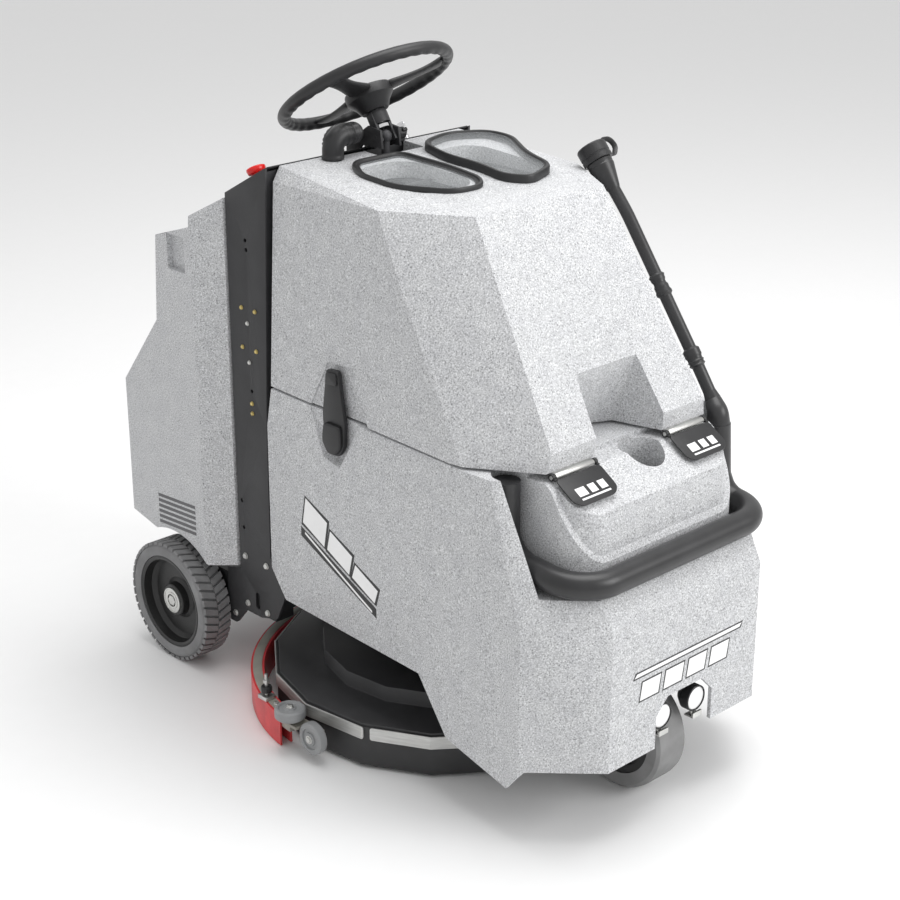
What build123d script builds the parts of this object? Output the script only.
from build123d import *
import math
import os

os.makedirs("parts", exist_ok=True)

# Stand-on floor scrubber. X runs across the machine, -Y is forward, +Z is up.
# The origin lies on the floor below the middle of the machine.
# Stations are distances back from the flat front face.

# ---------------------------------------------------------------- driving dimensions
LENGTH = 1229.0
FRONT = -LENGTH / 2              # y of the front face
WALL = 8.0                       # moulded plastic wall

FACE_X = 197.0                   # half width of the flat front face
BODY_X = 306.0                   # half width of the body where the corner chamfer ends
CHAMFER = 111.0                  # depth of the corner chamfer
BELT_Z = 427.0                   # belt line over the front face
SEAM_Z = 650.0                   # top of the lower body
TANK_Z = 655.0                   # underside of the recovery tank
TANK_TOP = 1044.0                # front edge of the tank's top
RIDGE_Z = 1067.0                 # rear edge of the tank's top
BULKHEAD = 812.0                 # station of the cross panel behind the tank

PLATE_X = 257.0                  # outer face of the steel side plates
PLATE_T = 5.0
WHEEL_R = 127.0                  # rear wheel, a 10 inch tyre
WHEEL_W = 66.0
WHEEL_X = 258.5                  # inner side of the rear wheel
WHEEL_Y = 1091.0
DRIVE_R = 108.0
DRIVE_W = 76.0
DRIVE_Y = 128.0
HINGE_Y = 146.0                  # tank tilt axis
HINGE_Z = 649.0
HOSE_R = 24.0
DECK_Y = 600.0
DECK_R = 348.0
DECK_TOP = 92.0
STEER_Y = 822.5                  # steering wheel centre
STEER_Z = 1176.0
STEER_TILT = 32.7                # wheel's face turned up towards the operator
COLUMN = 99.0                    # from the tilt pivot up to the wheel's centre
SHAFT_Y = STEER_Y - COLUMN * math.sin(math.radians(STEER_TILT))
SHAFT_Z = STEER_Z - COLUMN * math.cos(math.radians(STEER_TILT))
RIM_R = 162.7
RIM_TUBE = 12.5
ELBOW_X = -118.0                 # vacuum elbow on the tank's top
ELBOW_Y = 782.0


def sta(*points):
    """Move points given as (x, station, z) into the machine's frame."""
    return [(x, FRONT + y, z) for x, y, z in points]


def side(*points):
    """Side profile points given as (station, z)."""
    return [(FRONT + y, z) for y, z in points]


def both(*points):
    """Points on the +X side together with their mirror images."""
    return sta(*[(s * x, y, z) for x, y, z in points for s in (1, -1)])


def finish(piece, label):
    piece.part.label = label
    export_step(piece.part, f"parts/{label}.step")


# ---------------------------------------------------------------- lower body
LIP_X = 271.0                    # outer wall of the hose channel
CHANNEL_Z = 464.0                # floor of the hose channel
NOSE_X = 213.0
NOSE_Y = 58.0

with BuildPart() as lower_body:
    ConvexPolyhedron(both(
        (FACE_X, 0, 95), (FACE_X, 0, BELT_Z - 12), (BODY_X, CHAMFER, 95), (BODY_X, CHAMFER - 2, 407),
        (224, 144, SEAM_Z), (283, 206, SEAM_Z), (286, 270, SEAM_Z), (262, 806, SEAM_Z),
        (300, 324, 409), (293, 465, 497), (284, 641, 550), (274, 806, 580), (276, 806, 232),
    ))
    # skirt line along both sides
    with BuildSketch(Plane.YZ):
        with BuildLine():
            Polyline(*side((-20, 80), (-20, 145), (104, 145), (144, 95), (270, 95), (370, 232), (763, 232),
                           (806, 286), (830, 286), (830, 80)), close=True)
        make_face()
    extrude(amount=400, both=True, mode=Mode.SUBTRACT)
    # hollow underside around the brush deck and the drive wheel
    ConvexPolyhedron(both(
        (FACE_X - 4, WALL, 60), (BODY_X - WALL, CHAMFER + 4, 60), (268, 820, 60),
        (FACE_X - 4, WALL, 288), (BODY_X - WALL, CHAMFER + 4, 288), (266, 820, 288),
    ), mode=Mode.SUBTRACT)
    # battery bay, open at the top below the tilting tank
    with Locations(*sta((0, 570, 475))):
        Box(440, 420, 380, mode=Mode.SUBTRACT)
    # rear slot for the steering shaft
    with Locations(*sta((0, 795, 480))):
        Box(64, 62, 400, mode=Mode.SUBTRACT)
    # side spaces of the solution tank
    for s in (-1, 1):
        with Locations(*sta((s * 247, 520, 428))):
            Box(38, 540, 264, mode=Mode.SUBTRACT)
    # drive unit well
    with Locations(*sta((0, DRIVE_Y + 6, 250))):
        Cylinder(122, 260, mode=Mode.SUBTRACT)
    # hose channel around the nose
    with BuildSketch(Plane.XY.offset(CHANNEL_Z)) as channel:
        with Locations((0, FRONT + 100)):
            RectangleRounded(2 * LIP_X, 280, 40)
        with Locations((0, FRONT + NOSE_Y + 150)):
            RectangleRounded(2 * NOSE_X, 300, 62, mode=Mode.SUBTRACT)
    extrude(amount=220, mode=Mode.SUBTRACT)
    # nose inside the hose loop
    with BuildSketch(Plane.XY.offset(CHANNEL_Z - 20)) as nose_plan:
        with Locations((0, FRONT + NOSE_Y + 150)):
            RectangleRounded(2 * NOSE_X, 300, 62)
    extrude(amount=SEAM_Z - 6 - CHANNEL_Z + 20, taper=5)
    # sloping front of the nose
    with BuildSketch(Plane.YZ):
        with BuildLine():
            Polyline(*side((30, 594), (72, 594), (146, 641), (190, 641), (190, 700), (30, 700)), close=True)
        make_face()
    extrude(amount=NOSE_X + 5, both=True, mode=Mode.SUBTRACT)
    # fill opening and the tank space below it
    with Locations(*sta((33, 150, 600))):
        Cylinder(42, 140, mode=Mode.SUBTRACT)
    with BuildSketch(Plane.XY.offset(395)) as tank_plan:
        with Locations((0, FRONT + 205)):
            RectangleRounded(380, 250, 50)
    extrude(amount=170, mode=Mode.SUBTRACT)
    # lights arch
    with BuildSketch(Plane.XZ.offset(-FRONT - 30)) as arch:
        with BuildLine():
            Polyline((-76, 120), (-76, 208), (-46, 238), (46, 238), (76, 208), (76, 120), close=True)
        make_face()
    extrude(amount=60, mode=Mode.SUBTRACT)
    # latch recesses
    for s in (-1, 1):
        ConvexPolyhedron(sta(
            (s * 310, 706, 657), (s * 310, 638, 558), (s * 310, 583, 549), (s * 310, 520, 657),
            (s * 267, 690, 657), (s * 267, 632, 574), (s * 267, 590, 568), (s * 267, 545, 657),
            (s * 310, 610, 670), (s * 267, 610, 670),
        ), mode=Mode.SUBTRACT)
finish(lower_body, "lower_body")

# ---------------------------------------------------------------- recovery tank
with BuildPart() as recovery_tank:
    ConvexPolyhedron(both(
        (160, 368, TANK_TOP), (250, 514, TANK_TOP), (245, 800, 1042), (224, 806, RIDGE_Z),
        (197, 148, 689), (205, 152, TANK_Z), (283, 272, TANK_Z), (287, 300, TANK_Z), (262, 806, TANK_Z),
        (270, 363, 819), (268, 444, 941),
    ))
    # dirty water space, kept a wall's thickness away from the pocket over the fill opening
    space = ConvexPolyhedron(both(
        (150, 386, 1032), (240, 520, 1032), (234, 796, 1030), (190, 168, 689), (272, 290, 664),
        (192, 172, 664), (250, 796, 664),
    ), mode=Mode.PRIVATE)
    pocket_wall = ConvexPolyhedron(both(
        (102, 60, 630), (102, 148, 630), (70, 262, 630), (24, 282, 630), (88, 218, 800), (88, 60, 800),
    ), mode=Mode.PRIVATE)
    add(space - pocket_wall, mode=Mode.SUBTRACT)
    # openings in the top
    with BuildSketch(Plane.XY.offset(1020)) as openings:
        with Locations((-76, FRONT + 608)):
            RectangleRounded(140, 200, 50)
        with Locations((112, FRONT + 600)):
            RectangleRounded(120, 230, 50)
        with Locations((ELBOW_X, FRONT + ELBOW_Y)):
            Circle(17)
    extrude(amount=60, mode=Mode.SUBTRACT)
    # wall round the shaft channel, then the channel itself
    with Locations(*sta((12, 772, 850))):
        Box(140, 66, 386)
    with Locations(*sta((0, 783, 850))):
        Box(68, 70, 600, mode=Mode.SUBTRACT)
    with Locations(*sta((22, 783, 1030))):
        Box(112, 70, 130, mode=Mode.SUBTRACT)
    # rear edge lowered under the vacuum hose
    with Locations(*sta((-62, 805, 1068))):
        Box(66, 30, 60, mode=Mode.SUBTRACT)
    # pocket over the fill opening
    ConvexPolyhedron(sta(
        (-92, 60, 640), (78, 60, 640), (-92, 140, 640), (-78, 206, 790), (78, 206, 790), (78, 60, 790),
        (-78, 60, 790), (62, 250, 640), (24, 268, 640), (92, 60, 640), (92, 140, 640),
    ), mode=Mode.SUBTRACT)
    # latch recesses
    for s in (-1, 1):
        ConvexPolyhedron(sta(
            (s * 310, 702, 640), (s * 310, 640, 762), (s * 310, 555, 770), (s * 310, 488, 640),
            (s * 264, 690, 640), (s * 264, 634, 744), (s * 264, 566, 750), (s * 264, 520, 640),
        ), mode=Mode.SUBTRACT)
finish(recovery_tank, "recovery_tank")

# ---------------------------------------------------------------- steel side plates and cross panel
for name, s in (("side_plate_right", -1), ("side_plate_left", 1)):
    with BuildPart() as side_plate:
        with BuildSketch(Plane.YZ.offset(s * (PLATE_X - PLATE_T / 2))):
            with BuildLine():
                Polyline(*side(
                    (807, 1068), (830, 560), (834, 290), (798, 254), (793, 216), (818, 163), (868, 148),
                    (916, 148), (950, 108), (979, 108), (972, 226), (930, 236), (929, 1001),
                ), close=True)
            make_face()
            fillet(vertices().sort_by(Axis.Y)[0:2], 12)
            with Locations(*side((874, 921), (872, 903), (871, 626), (917, 387), (914, 330))):
                Circle(4, mode=Mode.SUBTRACT)
            with Locations(*side((879, 181))):
                SlotOverall(36, 13, rotation=90, mode=Mode.SUBTRACT)
        extrude(amount=PLATE_T / 2, both=True)
        # front edge returned inwards
        with BuildSketch(Plane.YZ.offset(s * (PLATE_X - 1))):
            with BuildLine():
                Polyline(*side(
                    (807.4, 1060), (811.4, 1060), (834.5, 560), (838, 296), (834, 296), (830, 560),
                ), close=True)
            make_face()
        extrude(amount=-s * 24)
    finish(side_plate, name)

with BuildPart() as bulkhead:
    with BuildSketch(Plane.XZ.offset(-FRONT - BULKHEAD - 3)):
        with Locations((0, 680)):
            Rectangle(460, 760)
        with Locations((-58, 960), (58, 960)):
            Circle(14, mode=Mode.SUBTRACT)
    extrude(amount=3)
finish(bulkhead, "bulkhead")

# ---------------------------------------------------------------- dash
DASH_FALL = math.atan2(1068 - 1001, 929 - 807)       # slope of the dash down to the operator
HOSE_CUT_Y = 845.0                                   # station where the vacuum hose passes the dash


def dash_z(station, lift=0.0):
    """Height of the dash's upper face at a station."""
    return 1069.0 - (station - 808.0) * math.tan(DASH_FALL) + lift


DASH_PLANE = Plane(origin=sta((0, HOSE_CUT_Y, dash_z(HOSE_CUT_Y)))[0], x_dir=(1, 0, 0),
                   z_dir=(0, math.sin(DASH_FALL), math.cos(DASH_FALL)))

with BuildPart() as dash_panel:
    with BuildSketch(Plane.YZ):
        with BuildLine():
            Polyline(*side((808, dash_z(808)), (929, dash_z(929)), (929, 470), (926, 470),
                           (926, dash_z(926) - 3.4), (808, dash_z(808) - 3.4)), close=True)
        make_face()
    extrude(amount=PLATE_X - PLATE_T - 0.5, both=True)
    with Locations(DASH_PLANE):
        with Locations((-58, 0, 0)):
            Cylinder(23, 40, mode=Mode.SUBTRACT)
        with Locations((-221, 30, 0)):
            Cylinder(11.4, 40, mode=Mode.SUBTRACT)
        with Locations((150, 30, 0)):
            Cylinder(9.4, 40, mode=Mode.SUBTRACT)
    # display window in the face towards the operator
    with Locations(*sta((120, 929, 930))):
        Box(90, 20, 50, mode=Mode.SUBTRACT)
finish(dash_panel, "dash_panel")

with BuildPart() as stop_button:
    with Locations(DASH_PLANE):
        with Locations((-221, 30, 0)):
            Cylinder(11, 24, align=(Align.CENTER, Align.CENTER, Align.MAX))
            with Locations((0, 0, 14)):
                Cone(17, 19, 14)
            Cylinder(11, 8, align=(Align.CENTER, Align.CENTER, Align.MIN))
    fillet(stop_button.edges().filter_by(GeomType.CIRCLE).sort_by(Axis.Z)[-1], 5)
finish(stop_button, "stop_button")

with BuildPart() as ignition_key:
    with Locations(DASH_PLANE):
        with Locations((150, 30, 0)):
            Cylinder(9, 44)
            with Locations((0, 0, 36)):
                Box(4, 26, 32)
    fillet(ignition_key.edges().filter_by(Axis.X).sort_by(Axis.Z)[-2:], 8)
finish(ignition_key, "ignition_key")

# ---------------------------------------------------------------- chassis
RAIL_X = 200.0
with BuildPart() as chassis_frame:
    for s in (-1, 1):
        with Locations(*sta((s * RAIL_X, 528, 261))):
            Box(50, 640, 50)
        with Locations(*sta((s * 229, 995, 180))):
            Box(44, 330, 60)
        with Locations(*sta((s * 215, 839, 230))):
            Box(64, 40, 112)
        with Locations(*sta((s * 242, WHEEL_Y, 140))):
            Box(18, 70, 60)
        with Locations(Plane(origin=sta((s * 240, WHEEL_Y, WHEEL_R))[0], z_dir=(s, 0, 0))):
            Cylinder(12, 72, align=(Align.CENTER, Align.CENTER, Align.MIN))
    with Locations(*sta((0, 270, 261), (0, 835, 261), (0, 1120, 185))):
        Box(420, 40, 50)
    # battery tray
    with Locations(*sta((0, 566, 288))):
        Box(432, 384, 5)
    # head that carries the steering bearing
    with Locations(*sta((0, 205, 261))):
        Box(110, 180, 24)
    with Locations(*sta((0, DRIVE_Y, 261))):
        Cylinder(60, 24)
        Cylinder(24, 60, mode=Mode.SUBTRACT)
finish(chassis_frame, "chassis_frame")

with BuildPart() as batteries:
    with Locations(*sta(*[(x, y, 291) for x in (-108, 108) for y in (460, 656)])):
        Box(200, 190, 240, align=(Align.CENTER, Align.CENTER, Align.MIN))
        with Locations((-62, 60, 240), (62, 60, 240)):
            Cylinder(9, 20, align=(Align.CENTER, Align.CENTER, Align.MIN))
    fillet(batteries.edges().filter_by(Axis.Z).filter_by(GeomType.LINE), 8)
finish(batteries, "batteries")

with BuildPart() as motor_controller:
    with Locations(*sta((110, 875, 640))):
        Box(170, 60, 130)
        with Locations(*[(x, 38, 0) for x in range(-70, 71, 20)]):
            Box(5, 18, 120)
finish(motor_controller, "motor_controller")

with BuildPart() as vacuum_motor:
    with Locations(*sta((-58, 878, 780))):
        Cylinder(46, 190)
        Cylinder(34, 230)
        with Locations((0, 0, 80)):
            Cylinder(48, 6)
    fillet(vacuum_motor.edges().filter_by(GeomType.CIRCLE).sort_by(Axis.Z)[-1], 6)
finish(vacuum_motor, "vacuum_motor")

# ---------------------------------------------------------------- operator platform
with BuildPart() as platform:
    with Locations(*sta((0, 1082, 213))):
        Box(356, 284, 6)
    with Locations(*sta((0, 937, 226))):
        Box(356, 6, 32)
finish(platform, "platform")

with BuildPart() as platform_mat:
    with Locations(*sta((0, 1114, 220))):
        Box(352, 216, 8)
    fillet(platform_mat.edges().filter_by(Axis.Z), 12)
finish(platform_mat, "platform_mat")

PEDAL_Y = 948.0
with BuildPart() as presence_pedal:
    with BuildSketch(Plane.YZ.offset(-150)):
        with BuildLine():
            Polyline(*side((PEDAL_Y, 232), (PEDAL_Y, 226), (1000, 234), (1000, 240)), close=True)
        make_face()
    extrude(amount=120)
    with Locations(Plane(origin=sta((-90, PEDAL_Y, 229))[0], z_dir=(1, 0, 0))):
        Cylinder(4.5, 120)
finish(presence_pedal, "presence_pedal")

# ---------------------------------------------------------------- rear side pods
POD_IN = 184.0
POD_OUT = 300.0
ARCH_R = 152.0
for name, s in (("rear_pod_right", -1), ("rear_pod_left", 1)):
    with BuildPart() as rear_pod:
        with BuildSketch(Plane.YZ.offset(s * (POD_IN + POD_OUT) / 2)):
            with BuildLine():
                Polyline(*side(
                    (983, 237), (937, 240), (935, 990), (988, 953), (990, 931), (1097, 896), (1109, 723),
                    (1229, 572), (1229, 285), (1150, 267),
                ))
                ThreePointArc(*side((1150, 267), (WHEEL_Y - 20, WHEEL_R + ARCH_R - 1.3), (983, 237)))
            make_face()
        extrude(amount=(POD_OUT - POD_IN) / 2, both=True)
        # chamfered front corner next to the side plate
        with BuildSketch(Plane.XY.offset(180)):
            with BuildLine():
                Polyline(*[(s * x, FRONT + y) for x, y in (
                    (POD_IN, 900), (259, 900), (259, 938), (POD_OUT, 986), (POD_OUT, 1229), (POD_IN, 1229),
                )], close=True)
            make_face()
        extrude(amount=900, mode=Mode.INTERSECT)
        # hollow moulding, open underneath
        with Locations(*sta((s * 242, 1040, 535))):
            Box(96, 90, 570, mode=Mode.SUBTRACT)
        with Locations(*sta((s * 242, 1130, 420))):
            Box(96, 160, 250, mode=Mode.SUBTRACT)
        # hand pocket near the top
        with Locations(*sta((s * POD_OUT, 1034, 872))):
            Box(26, 54, 70, mode=Mode.SUBTRACT)
    finish(rear_pod, name)

# ---------------------------------------------------------------- rear wheels
for side_name, s in (("right", -1), ("left", 1)):
    WHEEL_PLANE = Plane(origin=sta((s * WHEEL_X, WHEEL_Y, WHEEL_R))[0], x_dir=(0, 1, 0), z_dir=(s, 0, 0))
    with BuildPart() as rim:
        with Locations(WHEEL_PLANE):
            Cylinder(98, WHEEL_W - 4, align=(Align.CENTER, Align.CENTER, Align.MIN))
            with Locations((0, 0, 34)):
                Cylinder(84, 40, align=(Align.CENTER, Align.CENTER, Align.MIN), mode=Mode.SUBTRACT)
                Cylinder(34, 20, align=(Align.CENTER, Align.CENTER, Align.MIN))
            Cylinder(84, 22, align=(Align.CENTER, Align.CENTER, Align.MIN), mode=Mode.SUBTRACT)
            Cylinder(28, 22, align=(Align.CENTER, Align.CENTER, Align.MIN))
            Cylinder(12.05, 200, mode=Mode.SUBTRACT)
    finish(rim, "rim_" + side_name)
    with BuildPart() as tyre:
        with Locations(WHEEL_PLANE):
            Cylinder(WHEEL_R, WHEEL_W, align=(Align.CENTER, Align.CENTER, Align.MIN))
            Cylinder(98, 200, mode=Mode.SUBTRACT)
        chamfer(tyre.edges().filter_by(GeomType.CIRCLE).filter_by(lambda e: abs(e.radius - WHEEL_R) < 0.1), 5)
    finish(tyre, "tyre_" + side_name)

# ---------------------------------------------------------------- steering
TILT = math.radians(STEER_TILT)
AXIS_UP = (0, math.sin(TILT), math.cos(TILT))
WHEEL_CENTRE = Plane(origin=sta((0, STEER_Y, STEER_Z))[0], x_dir=(1, 0, 0), z_dir=AXIS_UP)
PIVOT = Plane(origin=sta((0, SHAFT_Y, SHAFT_Z))[0], x_dir=(1, 0, 0), z_dir=AXIS_UP)

with BuildPart() as steering_wheel:
    with Locations(WHEEL_CENTRE):
        Torus(RIM_R, RIM_TUBE)
        with Locations((0, 0, -14)):
            Cylinder(46, 20)
        with Locations((0, 0, -37)):
            Cone(26, 46, 26)
        for angle in (90, 210, 330):
            with Locations(Rotation(0, 0, angle)):
                with Locations((96, 0, -9)):
                    Box(128, 30, 10)
        with Locations((0, 0, -60)):
            Cylinder(9.0, 100, mode=Mode.SUBTRACT)
finish(steering_wheel, "steering_wheel")

with BuildPart() as upper_shaft:
    with Locations(PIVOT):
        with Locations((0, 0, 15)):
            Cylinder(9, COLUMN - 25, align=(Align.CENTER, Align.CENTER, Align.MIN))
        with Locations((0, 0, 15)):
            Cylinder(14, 6, align=(Align.CENTER, Align.CENTER, Align.MIN))
finish(upper_shaft, "upper_shaft")

with BuildPart() as column_head:
    with Locations(PIVOT):
        with Locations((0, 0, 36)):
            Cylinder(19, 24)
        for s in (-1, 1):
            with Locations((s * 17, 0, 18)):
                Box(5, 16, 56)
        with Locations((0, 0, 38)):
            Cylinder(9.05, 60, mode=Mode.SUBTRACT)
        with Locations((0, 0, 16)):
            Cylinder(14.4, 18, mode=Mode.SUBTRACT)
        for s in (-1, 1):
            with Locations((s * 17, 0, 0)):
                with Locations(Rotation(0, 90, 0)):
                    Cylinder(4.05, 20, mode=Mode.SUBTRACT)
finish(column_head, "column_head")

with BuildPart() as steering_bracket:
    for s in (-1, 1):
        with BuildSketch(Plane.YZ.offset(s * 22.5)):
            with BuildLine():
                Polyline(*side((752, 1074), (756, 1108), (790, 1112), (852, 1070), (852, dash_z(852, 1)),
                               (812, dash_z(812, 1)), (806, 1074)), close=True)
            make_face()
        extrude(amount=2.5, both=True)
        with Locations(Plane(origin=sta((s * 20, SHAFT_Y, SHAFT_Z))[0], z_dir=(s, 0, 0))):
            Cylinder(4, 12, align=(Align.CENTER, Align.CENTER, Align.CENTER))
    with Locations(*sta((0, 795, 1076))):
        Box(46, 18, 4)
finish(steering_bracket, "steering_bracket")

with BuildPart() as tilt_knob:
    with Locations(Plane(origin=sta((27, SHAFT_Y, SHAFT_Z))[0], z_dir=(1, 0, 0))):
        Cylinder(9, 8, align=(Align.CENTER, Align.CENTER, Align.MIN))
        with Locations((0, 0, 12)):
            with Locations(*[Rotation(0, 0, a) for a in (0, 60, 120)]):
                Box(34, 9, 14)
            Cylinder(12, 14)
finish(tilt_knob, "tilt_knob")

SPROCKET_Z = 225.0
COLUMN_SPROCKET = 26.0
FORK_SPROCKET = 40.0
with BuildPart() as lower_shaft:
    with Locations(*sta((0, SHAFT_Y, SPROCKET_Z))):
        Cylinder(8, SHAFT_Z - SPROCKET_Z, align=(Align.CENTER, Align.CENTER, Align.MIN))
        Cylinder(COLUMN_SPROCKET, 6, align=(Align.CENTER, Align.CENTER, Align.MIN))
    with Locations(*sta((0, SHAFT_Y, SHAFT_Z))):
        Sphere(12)
finish(lower_shaft, "lower_shaft")

with BuildPart() as steering_chain:
    with BuildSketch(Plane.XY.offset(SPROCKET_Z)):
        with Locations((0, FRONT + SHAFT_Y)):
            Circle(COLUMN_SPROCKET + 4)
        with Locations((0, FRONT + DRIVE_Y)):
            Circle(FORK_SPROCKET + 4)
        make_hull()
        offset(amount=-3.5, mode=Mode.SUBTRACT)
    extrude(amount=6)
finish(steering_chain, "steering_chain")

# ---------------------------------------------------------------- front drive unit
with BuildPart() as drive_fork:
    with Locations(*sta((0, DRIVE_Y, 219))):
        Cylinder(50, 4.5, align=(Align.CENTER, Align.CENTER, Align.MIN))
        Cylinder(23.95, 60, align=(Align.CENTER, Align.CENTER, Align.MIN))
        with Locations((0, 0, SPROCKET_Z - 219)):
            Cylinder(FORK_SPROCKET, 6, align=(Align.CENTER, Align.CENTER, Align.MIN))
    for s in (-1, 1):
        with Locations(*sta((s * 45, DRIVE_Y, 152))):
            Box(7, 46, 138)
        with Locations(Plane(origin=sta((s * 45, DRIVE_Y, DRIVE_R))[0], z_dir=(1, 0, 0))):
            Cylinder(12.05, 20, mode=Mode.SUBTRACT)
finish(drive_fork, "drive_fork")

with BuildPart() as drive_motor:
    with Locations(*sta((0, DRIVE_Y, 279))):
        Cylinder(46, 92, align=(Align.CENTER, Align.CENTER, Align.MIN))
        with Locations((0, 0, 30)):
            Cylinder(52, 30, align=(Align.CENTER, Align.CENTER, Align.MIN))
finish(drive_motor, "drive_motor")

with BuildPart() as drive_rim:
    with Locations(Plane(origin=sta((0, DRIVE_Y, DRIVE_R))[0], z_dir=(1, 0, 0))):
        Cylinder(78, DRIVE_W - 6)
        with Locations((0, 0, 30), (0, 0, -30)):
            Cylinder(64, 20, mode=Mode.SUBTRACT)
        Cylinder(12, 98)
        Cylinder(26, 76)
finish(drive_rim, "drive_rim")

with BuildPart() as drive_tyre:
    with Locations(Plane(origin=sta((0, DRIVE_Y, DRIVE_R))[0], z_dir=(1, 0, 0))):
        Cylinder(DRIVE_R, DRIVE_W)
        Cylinder(78, 200, mode=Mode.SUBTRACT)
    chamfer(drive_tyre.edges().filter_by(GeomType.CIRCLE).filter_by(lambda e: e.radius > DRIVE_R - 1), 6)
finish(drive_tyre, "drive_tyre")

# ---------------------------------------------------------------- brush deck
DECK_PHASE = 18.3
with BuildPart() as deck_housing:
    with BuildSketch(Plane.XY.offset(60)):
        with Locations((0, FRONT + DECK_Y)):
            RegularPolygon(DECK_R - 4.5, 16, rotation=DECK_PHASE)
    extrude(amount=DECK_TOP - 60)
    with BuildSketch(Plane.XY.offset(60)):
        with Locations((0, FRONT + DECK_Y)):
            RegularPolygon(DECK_R - 12, 16, rotation=DECK_PHASE)
    extrude(amount=26, mode=Mode.SUBTRACT)
    with BuildSketch(Plane.XY.offset(DECK_TOP)):
        with Locations((0, FRONT + DECK_Y)):
            RegularPolygon(252, 16, rotation=DECK_PHASE)
    extrude(amount=32)
    with BuildSketch(Plane.XY.offset(DECK_TOP - 6)):
        with Locations((0, FRONT + DECK_Y)):
            RegularPolygon(244, 16, rotation=DECK_PHASE)
    extrude(amount=34, mode=Mode.SUBTRACT)
    with Locations(*sta((0, DECK_Y, 100))):
        Cylinder(30, 80, mode=Mode.SUBTRACT)
finish(deck_housing, "deck_housing")

with BuildPart() as deck_skirt:
    with BuildSketch(Plane.XY.offset(7)):
        with Locations((0, FRONT + DECK_Y)):
            RegularPolygon(DECK_R, 16, rotation=DECK_PHASE)
            RegularPolygon(DECK_R - 4.2, 16, rotation=DECK_PHASE, mode=Mode.SUBTRACT)
    extrude(amount=80)
finish(deck_skirt, "deck_skirt")

with BuildPart() as deck_strap:
    with BuildSketch(Plane.XY.offset(62)):
        with Locations((0, FRONT + DECK_Y)):
            RegularPolygon(DECK_R + 3.2, 16, rotation=DECK_PHASE)
            RegularPolygon(DECK_R + 0.2, 16, rotation=DECK_PHASE, mode=Mode.SUBTRACT)
        # split where the strap is clamped
        with Locations((-261, FRONT + 368)):
            Rectangle(4, 40, rotation=-49, mode=Mode.SUBTRACT)
    extrude(amount=26)
finish(deck_strap, "deck_strap")

with BuildPart() as brush_motor:
    with Locations(*sta((0, DECK_Y, DECK_TOP + 32))):
        Cylinder(90, 8, align=(Align.CENTER, Align.CENTER, Align.MIN))
        Cylinder(62, 46, align=(Align.CENTER, Align.CENTER, Align.MIN))
    fillet(brush_motor.edges().filter_by(GeomType.CIRCLE).sort_by(Axis.Z)[-1], 8)
finish(brush_motor, "brush_motor")

with BuildPart() as brush_disc:
    with Locations(*sta((0, DECK_Y, 32))):
        Cylinder(318, 12, align=(Align.CENTER, Align.CENTER, Align.MIN))
        Cylinder(22, 70, align=(Align.CENTER, Align.CENTER, Align.MIN))
    with Locations(*sta((0, DECK_Y, 1.5))):
        Cylinder(326, 30.5, align=(Align.CENTER, Align.CENTER, Align.MIN))
        Cylinder(170, 30.5, align=(Align.CENTER, Align.CENTER, Align.MIN), mode=Mode.SUBTRACT)
finish(brush_disc, "brush_disc")

# ---------------------------------------------------------------- squeegee
ROLLER = (384.0, 629.0, 82.0)    # bumper roller centre
CASTER = (378.7, 569.2, 49.4)    # side caster centre
SQUEEGEE_R = 380.0


def squeegee_arc(inner, outer, end_angle=4.0):
    """Flat arc behind the brush deck, open towards the front."""
    with BuildSketch(mode=Mode.PRIVATE) as arc:
        Circle(outer)
        Circle(inner, mode=Mode.SUBTRACT)
        with Locations((0, -300)):
            Rectangle(900, 600 + 2 * inner * math.sin(math.radians(end_angle)), mode=Mode.SUBTRACT)
    return arc.sketch


with BuildPart() as squeegee_frame:
    with BuildSketch(Plane.XY.offset(42)):
        with Locations((0, FRONT + DECK_Y)):
            add(squeegee_arc(SQUEEGEE_R - 9, SQUEEGEE_R + 9))
    extrude(amount=27)
    # mounting block and lift post behind the deck
    with Locations(*sta((0, DECK_Y + SQUEEGEE_R, 69))):
        Box(120, 34, 6, align=(Align.CENTER, Align.CENTER, Align.MIN))
        Cylinder(25, 60, align=(Align.CENTER, Align.CENTER, Align.MIN))
    for s in (-1, 1):
        # end bracket with the pins of the roller and of the caster
        with Locations(*sta((s * 376, 622, 60))):
            Box(34, 40, 6)
        with Locations(*sta((s * 362, 601, 51.5))):
            Box(6, 82, 23)
        with Locations(Plane(origin=sta((s * 360, CASTER[1], CASTER[2]))[0], z_dir=(s, 0, 0))):
            Cylinder(5, 32, align=(Align.CENTER, Align.CENTER, Align.MIN))
        with Locations(*sta((s * ROLLER[0], ROLLER[1], 60))):
            Cylinder(5, 36, align=(Align.CENTER, Align.CENTER, Align.MIN))
finish(squeegee_frame, "squeegee_frame")

with BuildPart() as squeegee_blades:
    with BuildSketch(Plane.XY.offset(1.5)):
        with Locations((0, FRONT + DECK_Y)):
            add(squeegee_arc(SQUEEGEE_R - 13.2, SQUEEGEE_R - 9.2, 8))
            add(squeegee_arc(SQUEEGEE_R + 9.2, SQUEEGEE_R + 13.2, 8))
    extrude(amount=66)
finish(squeegee_blades, "squeegee_blades")

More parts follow.
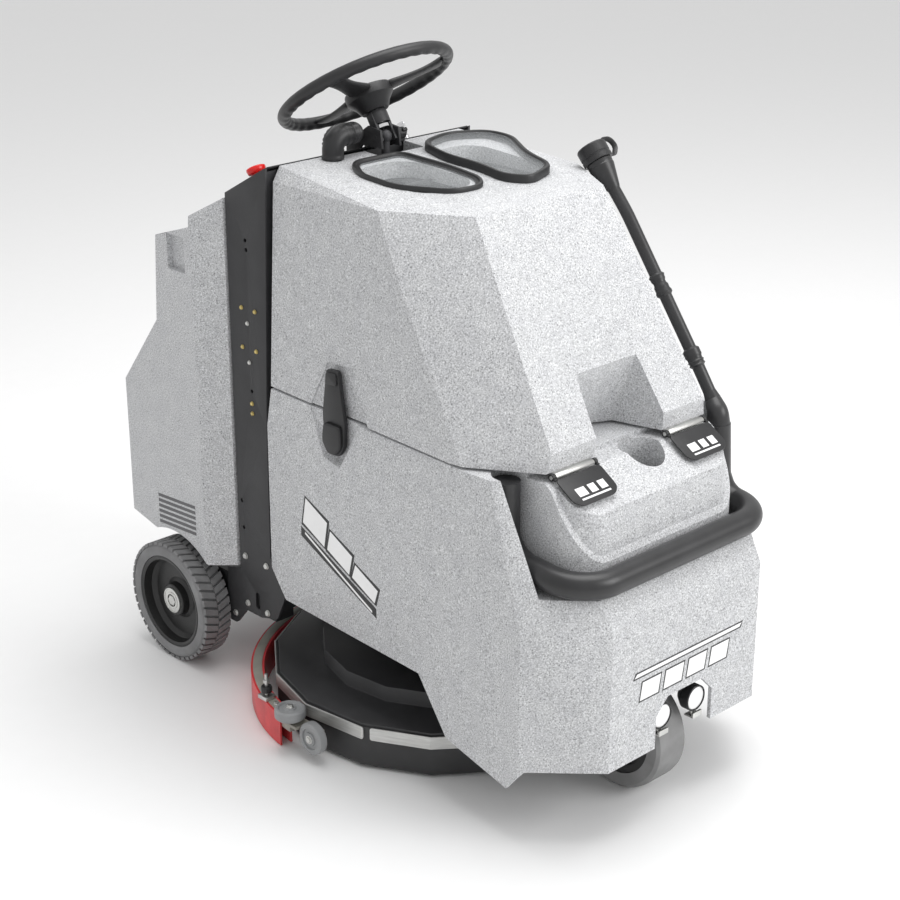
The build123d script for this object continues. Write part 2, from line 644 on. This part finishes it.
for side_name, s in (("right", -1), ("left", 1)):
    with BuildPart() as bumper_roller:
        with Locations(*sta((s * ROLLER[0], ROLLER[1], ROLLER[2]))):
            Cylinder(30, 22)
            Cylinder(5.05, 60, mode=Mode.SUBTRACT)
        fillet(bumper_roller.edges().filter_by(GeomType.CIRCLE).filter_by(lambda e: e.radius > 20), 6)
    finish(bumper_roller, "bumper_roller_" + side_name)
    with BuildPart() as caster:
        with Locations(Plane(origin=sta((s * CASTER[0], CASTER[1], CASTER[2]))[0], z_dir=(1, 0, 0))):
            Cylinder(32, 20)
            Cylinder(5.05, 60, mode=Mode.SUBTRACT)
        fillet(caster.edges().filter_by(GeomType.CIRCLE).filter_by(lambda e: e.radius > 20), 6)
    finish(caster, "caster_" + side_name)

# ---------------------------------------------------------------- tank hinges
with BuildPart() as hinge_leaves:
    for s in (-1, 1):
        with Locations(Plane(origin=sta((s * 145, HINGE_Y, HINGE_Z))[0], z_dir=(1, 0, 0))):
            Cylinder(3.95, 110)
            with Locations((0, 0, -52), (0, 0, 52)):
                Cylinder(6.5, 6)
        with BuildSketch(Plane.YZ.offset(s * 145)):
            with BuildLine():
                Polyline(*side((142, 649), (142, 645), (84, 606), (82, 609)), close=True)
            make_face()
        extrude(amount=55, both=True)
        with Locations(*sta((s * 145, HINGE_Y, HINGE_Z))):
            Box(97, 18, 18, mode=Mode.SUBTRACT)
        with Locations(Plane(origin=sta((s * 145, HINGE_Y, HINGE_Z))[0], z_dir=(1, 0, 0))):
            Cylinder(3.95, 110)
finish(hinge_leaves, "hinge_leaves")

with BuildPart() as hinge_barrels:
    for s in (-1, 1):
        with Locations(Plane(origin=sta((s * 145, HINGE_Y, HINGE_Z))[0], z_dir=(1, 0, 0))):
            Cylinder(6.2, 94)
        with Locations(*sta((s * 145, HINGE_Y + 19, HINGE_Z + 4.5))):
            Box(94, 38, 3)
        with Locations(Plane(origin=sta((s * 145, HINGE_Y, HINGE_Z))[0], z_dir=(1, 0, 0))):
            Cylinder(4.0, 120, mode=Mode.SUBTRACT)
finish(hinge_barrels, "hinge_barrels")

# ---------------------------------------------------------------- drain hose
WRAP = [(-243, 207, 640), (-243, 207, 500), (-243, 30, 489), (243, 30, 489), (244, 140, 492),
        (245, 150, 628)]
RISER = [(253, 175, 673), (250, 210, 728), (246, 385, 974.5), (246, 418, 1012)]
RISER_R = 12.0


def hose(points, radii, radius):
    with BuildPart() as tube:
        with BuildLine():
            path = FilletPolyline(*sta(*points), radius=radii)
        with BuildSketch(Plane(origin=path @ 0, z_dir=path % 0)):
            Circle(radius)
        sweep()
    print("hose volume ratio", round(tube.part.volume / (math.pi * radius ** 2 * path.length), 4))
    return tube


drain_hose_lower = hose(WRAP, [58, 72, 72, 52], HOSE_R)
finish(drain_hose_lower, "drain_hose_lower")
drain_hose_upper = hose(RISER, [150, 300], RISER_R)
COUPLING = Plane(origin=sta(RISER[-1])[0], x_dir=(1, 0, 0), z_dir=(0, 33, 37.5))
with drain_hose_upper:
    with Locations(COUPLING):
        Cone(RISER_R, 25, 52, align=(Align.CENTER, Align.CENTER, Align.MIN))
    with Locations(COUPLING.offset(52)):
        Cylinder(25, 6, align=(Align.CENTER, Align.CENTER, Align.MIN))
finish(drain_hose_upper, "drain_hose_upper")

with BuildPart() as drain_cap:
    with Locations(COUPLING.offset(58.5)):
        Cylinder(29, 34, align=(Align.CENTER, Align.CENTER, Align.MIN))
    chamfer(drain_cap.edges().filter_by(GeomType.CIRCLE).sort_by(Axis.Z)[-1], 2)
finish(drain_cap, "drain_cap")

# ---------------------------------------------------------------- vacuum elbow and hose
VAC_R = 21.0
ELBOW = [(ELBOW_X, ELBOW_Y, 1067.2), (ELBOW_X, ELBOW_Y, 1107), (-85, ELBOW_Y, 1107)]
PORT = (-58, HOSE_CUT_Y, dash_z(HOSE_CUT_Y))                    # hole in the dash


def along_port(distance):
    """Point on the hole's own axis, measured up from the dash."""
    return (PORT[0], PORT[1] + distance * math.sin(DASH_FALL), PORT[2] + distance * math.cos(DASH_FALL))


VAC_HOSE = [(-84.4, ELBOW_Y, 1107), (-55, ELBOW_Y, 1107), along_port(40), along_port(-8)]
vacuum_elbow = hose(ELBOW, 26, VAC_R)
finish(vacuum_elbow, "vacuum_elbow")
vacuum_hose = hose(VAC_HOSE, [26, 24], VAC_R)
finish(vacuum_hose, "vacuum_hose")

# ---------------------------------------------------------------- lids on the tank's top
TOP_FALL = math.atan2(RIDGE_Z - TANK_TOP, 806 - 368)
LID = Plane(origin=sta((0, 368, TANK_TOP + 0.3))[0], x_dir=(1, 0, 0),
            z_dir=(0, -math.sin(TOP_FALL), math.cos(TOP_FALL)))
WINDOW = [(-160, 300), (-120, 366), (4, 366), (12, 235), (4, 150), (-28, 112), (-98, 116), (-160, 200)]
FLOAT = [(34, 280), (60, 372), (150, 398), (228, 360), (236, 300), (176, 200), (150, 112), (60, 78),
         (26, 120), (40, 200)]

for name, outline, width, height in (("window_frame", WINDOW, 14, 9), ("float_gasket", FLOAT, 12, 16)):
    with BuildPart() as frame_ring:
        with BuildSketch(LID):
            with BuildLine():
                FilletPolyline(*outline, radius=26, close=True)
            make_face()
            offset(amount=-width, mode=Mode.SUBTRACT)
        extrude(amount=height)
    finish(frame_ring, name)
for name, outline, inset, height in (("window_pane", WINDOW, 14.2, 3), ("float_cover", FLOAT, 12.2, 12)):
    with BuildPart() as pane:
        with BuildSketch(LID.offset(1)):
            with BuildLine():
                FilletPolyline(*outline, radius=26, close=True)
            make_face()
            offset(amount=-inset, mode=Mode.INTERSECT)
        extrude(amount=height)
    finish(pane, name)

# ---------------------------------------------------------------- latches
for name, s in (("latch_right", -1), ("latch_left", 1)):
    with BuildPart() as latch:
        with BuildSketch(Plane.YZ.offset(s * 281)):
            with BuildLine():
                Polyline(*side(
                    (590, 744), (626, 742), (629, 694), (636, 650), (632, 602), (618, 578), (590, 578),
                    (577, 600), (574, 648), (584, 700),
                ), close=True)
            make_face()
            fillet(vertices(), 5)
        extrude(amount=9, both=True)
    finish(latch, name)

# ---------------------------------------------------------------- lights
LIGHT_X = 46.0
LIGHT_Z = 194.0
with BuildPart() as light_housings:
    for s in (-1, 1):
        with Locations(Plane(origin=sta((s * LIGHT_X, 10, LIGHT_Z))[0], z_dir=(0, 1, 0))):
            Cylinder(25, 20, align=(Align.CENTER, Align.CENTER, Align.MIN))
            with Locations((0, 0, 20)):
                Cone(25, 12, 14, align=(Align.CENTER, Align.CENTER, Align.MIN))
            Cylinder(22.2, 5, align=(Align.CENTER, Align.CENTER, Align.MIN), mode=Mode.SUBTRACT)
finish(light_housings, "light_housings")

with BuildPart() as light_lenses:
    for s in (-1, 1):
        with Locations(Plane(origin=sta((s * LIGHT_X, 9, LIGHT_Z))[0], z_dir=(0, 1, 0))):
            Cylinder(22, 5.8, align=(Align.CENTER, Align.CENTER, Align.MIN))
finish(light_lenses, "light_lenses")

with BuildPart() as light_brackets:
    for s in (-1, 1):
        with Locations(*sta((s * LIGHT_X, 16, 160))):
            Box(24, 20, 3)
        with Locations(*sta((s * LIGHT_X, 8, 164))):
            Box(24, 4, 9)
        with Locations(*sta((s * LIGHT_X, 18, 157))):
            Cylinder(5, 11.7, align=(Align.CENTER, Align.CENTER, Align.MIN))
finish(light_brackets, "light_brackets")

# ---------------------------------------------------------------- bolts on the side plates
BOLTS = [(892, 788), (852, 788), (876, 760), (893, 710), (852, 710), (874, 683), (871, 601), (871, 581),
         (912, 269), (847, 268), (910, 166), (848, 165), (952, 130)]
with BuildPart() as frame_fasteners:
    for s in (-1, 1):
        for y, z in BOLTS:
            with Locations(Plane(origin=sta((s * (PLATE_X + 0.1), y, z))[0], z_dir=(s, 0, 0))):
                Cylinder(7 if z < 300 else 4.5, 4, align=(Align.CENTER, Align.CENTER, Align.MIN))
finish(frame_fasteners, "frame_fasteners")
